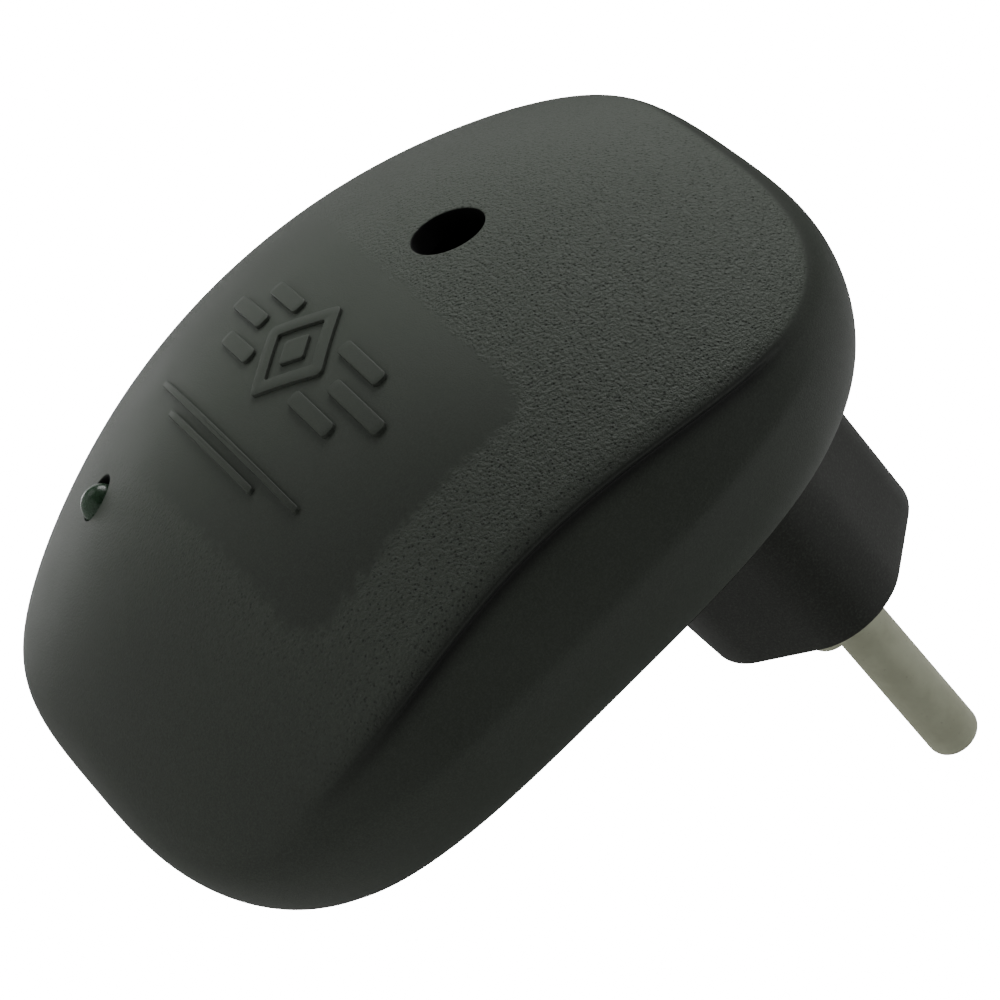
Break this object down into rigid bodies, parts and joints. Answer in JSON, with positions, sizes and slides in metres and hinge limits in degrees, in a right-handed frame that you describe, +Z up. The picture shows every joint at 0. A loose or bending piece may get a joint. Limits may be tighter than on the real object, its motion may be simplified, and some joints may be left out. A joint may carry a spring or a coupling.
{
  "type": "ultrasonic pest repeller",
  "caption": "Plug-in ultrasonic pest repeller: domed textured housing with a sound hole and an indicator lamp, carried on a hexagonal mains plug with round pins.",
  "frame": {"origin": "middle of the plug's flat engagement face, between the two pin axes", "axes": "+Z up along the housing's height, +Y along the pins into the socket, the domed front faces -Y"},
  "size_m": [0.0566, 0.0563, 0.0624],
  "materials": {
    "cover_plastic": "spark-eroded matte",
    "stem_plastic": "fine matte",
    "pin_nickel": "satin nickel plate",
    "screw_steel": "zinc plated",
    "retainer_plastic": "moulded",
    "board_laminate": "phenolic paper laminate, satin",
    "brass_disc": "satin",
    "piezo_ceramic": "silvered matte",
    "gasket_foam": "closed-cell foam",
    "clamp_plastic": "moulded",
    "lens_green": "tinted translucent",
    "tinned_lead": "tinned",
    "film_case": "moulded box",
    "can_sleeve": "shrink sleeve",
    "fuse_body": "cement coated",
    "diode_black": "moulded epoxy",
    "zener_glass": "glass-like",
    "resistor_tan": "lacquered",
    "cap_ceramic": "dipped",
    "chip_epoxy": "moulded epoxy",
    "ferrite": "sintered",
    "copper_wire": "enamelled copper",
    "solder": "bright solder",
    "wire_brown": "extruded",
    "wire_blue": "extruded",
    "wire_red": "extruded",
    "wire_black": "extruded"
  },
  "bodies": {
    "root": {"front_cover": "cover_plastic", "rear_cover": "stem_plastic", "plug_pin_left": "pin_nickel", "plug_pin_right": "pin_nickel", "pin_retainer": "retainer_plastic", "retainer_screw": "screw_steel", "cover_screws": "screw_steel", "circuit_board": "board_laminate", "board_screws": "screw_steel", "transducer_disc": "brass_disc", "transducer_ceramic": "piezo_ceramic", "transducer_gasket": "gasket_foam", "transducer_clamp": "clamp_plastic", "led_lens": "lens_green", "led_leads": "tinned_lead", "dropper_capacitor": "film_case", "filter_capacitor": "can_sleeve", "fusible_resistor": "fuse_body", "rectifier_diodes": "diode_black", "zener_diode": "zener_glass", "resistors": "resistor_tan", "ceramic_capacitors": "cap_ceramic", "driver_chip": "chip_epoxy", "driver_chip_legs": "tinned_lead", "output_transistors": "chip_epoxy", "inductor_core": "ferrite", "inductor_winding": "copper_wire", "component_leads": "tinned_lead", "solder_joints": "solder", "live_wire": "wire_brown", "neutral_wire": "wire_blue", "transducer_wire_red": "wire_red", "transducer_wire_black": "wire_black"}
  },
  "joints": []
}
